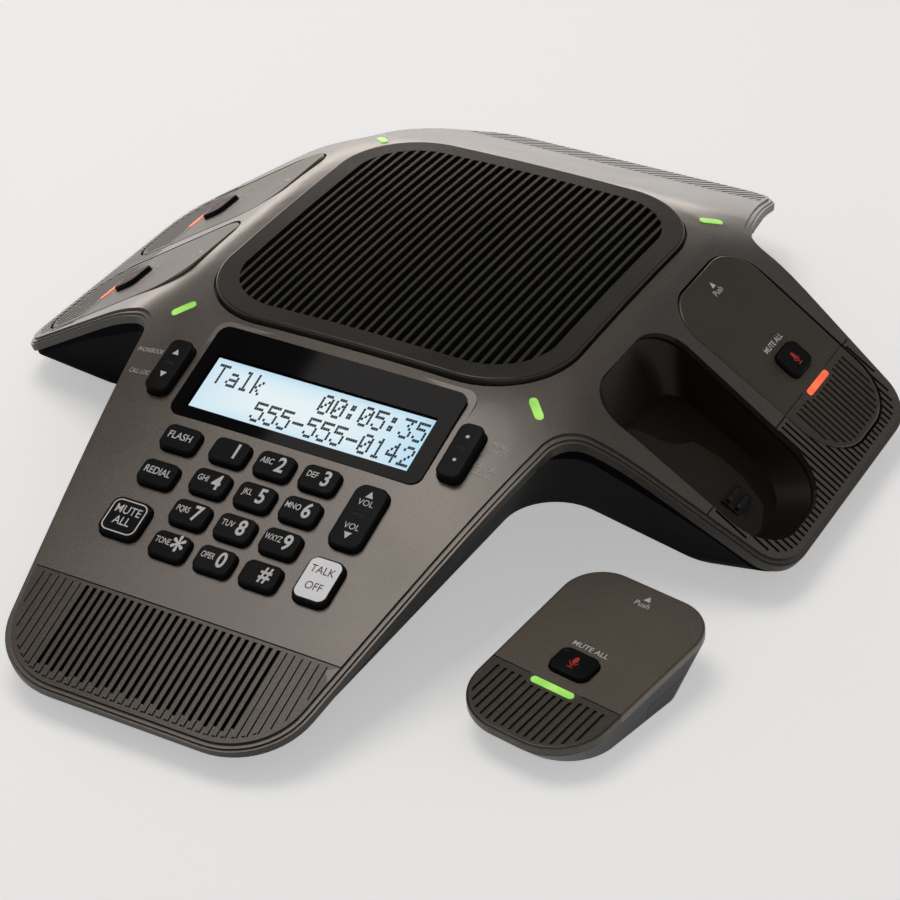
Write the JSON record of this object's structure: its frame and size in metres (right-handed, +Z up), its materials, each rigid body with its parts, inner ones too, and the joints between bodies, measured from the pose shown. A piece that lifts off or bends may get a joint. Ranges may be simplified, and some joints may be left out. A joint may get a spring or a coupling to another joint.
{
  "type": "conference phone",
  "caption": "Four-armed table conference phone with a domed speaker grille, a sloping keypad arm with display, and lift-out wireless microphones that dock in its side arms.",
  "frame": {"origin": "on the desk, under the middle of the speaker grille", "axes": "+Z up, +X to the right of the keypad user, -Y toward the keypad user"},
  "size_m": [0.297, 0.3554, 0.0645],
  "materials": {
    "cover_plastic": "fine metallic satin",
    "grille_plastic": "satin grey",
    "housing_plastic": "fine texture",
    "bay_plastic": "satin",
    "key_rubber": "matt with white legends",
    "talk_key": "matt",
    "window": "mirror gloss black round a clear opening",
    "lcd": "pale blue lit display",
    "mat_rubber": "matt",
    "foot_rubber": "matt",
    "circuit_board": "solder mask",
    "driver_steel": "black",
    "cone_paper": "pulp",
    "contact_black": "moulded block",
    "lamp_green": "translucent, lit green",
    "lamp_red": "translucent, lit orange red",
    "capsule_metal": "drawn can",
    "screw_steel": "zinc plated",
    "jack_plastic": "moulded"
  },
  "bodies": {
    "base": {"top_cover": "cover_plastic", "bottom_housing": "housing_plastic", "speaker_grille": "grille_plastic", "speaker_driver": "driver_steel", "speaker_cone": "cone_paper", "display_window": "window", "lcd_module": "lcd", "keypad_mat": "mat_rubber", "main_board": "circuit_board", "right_mic_bays": "bay_plastic", "left_mic_bays": "bay_plastic", "charge_contacts": "contact_black", "status_lights": "lamp_green", "base_microphones": "capsule_metal", "housing_screws": "screw_steel", "rubber_feet": "foot_rubber", "cable_jacks": "jack_plastic"},
    "key_1": {"key_1": "key_rubber"},
    "key_2": {"key_2": "key_rubber"},
    "key_3": {"key_3": "key_rubber"},
    "key_4": {"key_4": "key_rubber"},
    "key_5": {"key_5": "key_rubber"},
    "key_6": {"key_6": "key_rubber"},
    "key_7": {"key_7": "key_rubber"},
    "key_8": {"key_8": "key_rubber"},
    "key_9": {"key_9": "key_rubber"},
    "key_0": {"key_0": "key_rubber"},
    "key_star": {"key_star": "key_rubber"},
    "key_pound": {"key_pound": "key_rubber"},
    "key_flash": {"key_flash": "key_rubber"},
    "key_redial": {"key_redial": "key_rubber"},
    "key_mute_all": {"key_mute_all": "key_rubber"},
    "key_talk_off": {"key_talk_off": "talk_key"},
    "rocker_volume": {"rocker_volume": "key_rubber"},
    "rocker_phonebook": {"rocker_phonebook": "key_rubber"},
    "rocker_menu": {"rocker_menu": "key_rubber"},
    "mic_1": {"mic_1_cover": "cover_plastic", "mic_1_case": "housing_plastic", "mic_1_battery_door": "housing_plastic", "mic_1_light_bar": "lamp_red", "mic_1_board_and_battery": "circuit_board"},
    "mic_1_mute_button": {"mic_1_mute_button": "key_rubber"},
    "mic_2": {"mic_2_cover": "cover_plastic", "mic_2_case": "housing_plastic", "mic_2_battery_door": "housing_plastic", "mic_2_light_bar": "lamp_red", "mic_2_board_and_battery": "circuit_board"},
    "mic_2_mute_button": {"mic_2_mute_button": "key_rubber"},
    "mic_3": {"mic_3_cover": "cover_plastic", "mic_3_case": "housing_plastic", "mic_3_battery_door": "housing_plastic", "mic_3_light_bar": "lamp_red", "mic_3_board_and_battery": "circuit_board"},
    "mic_3_mute_button": {"mic_3_mute_button": "key_rubber"},
    "mic_4": {"mic_4_cover": "cover_plastic", "mic_4_case": "housing_plastic", "mic_4_light_bar": "lamp_green", "mic_4_board_and_battery": "circuit_board"},
    "mic_4_mute_button": {"mic_4_mute_button": "key_rubber"},
    "mic_4_battery_door": {"mic_4_battery_door": "housing_plastic"}
  },
  "joints": [
    {"name": "key_1_press", "type": "slide", "parent": "base", "child": "key_1", "axis": [0, 0.342, -0.9397], "range_m": [0, 0.001], "stiffness_N_per_m": 400, "springref_m": -0.0004},
    {"name": "key_2_press", "type": "slide", "parent": "base", "child": "key_2", "axis": [0, 0.342, -0.9397], "range_m": [0, 0.001], "stiffness_N_per_m": 400, "springref_m": -0.0004},
    {"name": "key_3_press", "type": "slide", "parent": "base", "child": "key_3", "axis": [0, 0.342, -0.9397], "range_m": [0, 0.001], "stiffness_N_per_m": 400, "springref_m": -0.0004},
    {"name": "key_4_press", "type": "slide", "parent": "base", "child": "key_4", "axis": [0, 0.342, -0.9397], "range_m": [0, 0.001], "stiffness_N_per_m": 400, "springref_m": -0.0004},
    {"name": "key_5_press", "type": "slide", "parent": "base", "child": "key_5", "axis": [0, 0.342, -0.9397], "range_m": [0, 0.001], "stiffness_N_per_m": 400, "springref_m": -0.0004},
    {"name": "key_6_press", "type": "slide", "parent": "base", "child": "key_6", "axis": [0, 0.342, -0.9397], "range_m": [0, 0.001], "stiffness_N_per_m": 400, "springref_m": -0.0004},
    {"name": "key_7_press", "type": "slide", "parent": "base", "child": "key_7", "axis": [0, 0.342, -0.9397], "range_m": [0, 0.001], "stiffness_N_per_m": 400, "springref_m": -0.0004},
    {"name": "key_8_press", "type": "slide", "parent": "base", "child": "key_8", "axis": [0, 0.342, -0.9397], "range_m": [0, 0.001], "stiffness_N_per_m": 400, "springref_m": -0.0004},
    {"name": "key_9_press", "type": "slide", "parent": "base", "child": "key_9", "axis": [0, 0.342, -0.9397], "range_m": [0, 0.001], "stiffness_N_per_m": 400, "springref_m": -0.0004},
    {"name": "key_0_press", "type": "slide", "parent": "base", "child": "key_0", "axis": [0, 0.342, -0.9397], "range_m": [0, 0.001], "stiffness_N_per_m": 400, "springref_m": -0.0004},
    {"name": "key_star_press", "type": "slide", "parent": "base", "child": "key_star", "axis": [0, 0.342, -0.9397], "range_m": [0, 0.001], "stiffness_N_per_m": 400, "springref_m": -0.0004},
    {"name": "key_pound_press", "type": "slide", "parent": "base", "child": "key_pound", "axis": [0, 0.342, -0.9397], "range_m": [0, 0.001], "stiffness_N_per_m": 400, "springref_m": -0.0004},
    {"name": "key_flash_press", "type": "slide", "parent": "base", "child": "key_flash", "axis": [0, 0.342, -0.9397], "range_m": [0, 0.001], "stiffness_N_per_m": 400, "springref_m": -0.0004},
    {"name": "key_redial_press", "type": "slide", "parent": "base", "child": "key_redial", "axis": [0, 0.342, -0.9397], "range_m": [0, 0.001], "stiffness_N_per_m": 400, "springref_m": -0.0004},
    {"name": "key_mute_all_press", "type": "slide", "parent": "base", "child": "key_mute_all", "axis": [0, 0.342, -0.9397], "range_m": [0, 0.001], "stiffness_N_per_m": 400, "springref_m": -0.0004},
    {"name": "key_talk_off_press", "type": "slide", "parent": "base", "child": "key_talk_off", "axis": [0, 0.342, -0.9397], "range_m": [0, 0.001], "stiffness_N_per_m": 400, "springref_m": -0.0004},
    {"name": "rocker_volume_tilt", "type": "hinge", "parent": "base", "child": "rocker_volume", "pos_m": [0.0352, -0.1236, 0.03938], "axis": [1, 0, 0], "range_deg": [-3, 3], "stiffness_Nm_per_rad": 0.05},
    {"name": "rocker_phonebook_tilt", "type": "hinge", "parent": "base", "child": "rocker_phonebook", "pos_m": [-0.0539, -0.0924, 0.05073], "axis": [1, 0, 0], "range_deg": [-3, 3], "stiffness_Nm_per_rad": 0.05},
    {"name": "rocker_menu_tilt", "type": "hinge", "parent": "base", "child": "rocker_menu", "pos_m": [0.0539, -0.0924, 0.05073], "axis": [1, 0, 0], "range_deg": [-3, 3], "stiffness_Nm_per_rad": 0.05},
    {"name": "mic_1_lift", "type": "slide", "parent": "base", "child": "mic_1", "axis": [0.5505, 0, 0.8348], "range_m": [0, 0.045]},
    {"name": "mic_1_mute_press", "type": "slide", "parent": "mic_1", "child": "mic_1_mute_button", "axis": [-0.5505, 0, -0.8348], "range_m": [0, 0.0008], "stiffness_N_per_m": 400, "springref_m": -0.0004},
    {"name": "mic_2_lift", "type": "slide", "parent": "base", "child": "mic_2", "axis": [-0.5505, 0, 0.8348], "range_m": [0, 0.045]},
    {"name": "mic_2_mute_press", "type": "slide", "parent": "mic_2", "child": "mic_2_mute_button", "axis": [0.5505, 0, -0.8348], "range_m": [0, 0.0008], "stiffness_N_per_m": 400, "springref_m": -0.0004},
    {"name": "mic_3_lift", "type": "slide", "parent": "base", "child": "mic_3", "axis": [-0.5505, 0, 0.8348], "range_m": [0, 0.045]},
    {"name": "mic_3_mute_press", "type": "slide", "parent": "mic_3", "child": "mic_3_mute_button", "axis": [0.5505, 0, -0.8348], "range_m": [0, 0.0008], "stiffness_N_per_m": 400, "springref_m": -0.0004},
    {"name": "mic_4_lift", "type": "slide", "parent": "base", "child": "mic_4", "axis": [0, 0, 1], "range_m": [0, 0.045]},
    {"name": "mic_4_mute_press", "type": "slide", "parent": "mic_4", "child": "mic_4_mute_button", "axis": [0.0128, 0.0774, -0.9969], "range_m": [0, 0.0008], "stiffness_N_per_m": 400, "springref_m": -0.0004},
    {"name": "mic_4_battery_door_slide", "type": "slide", "parent": "mic_4", "child": "mic_4_battery_door", "axis": [0.1628, 0.9835, 0.0785], "range_m": [0, 0.03]}
  ]
}
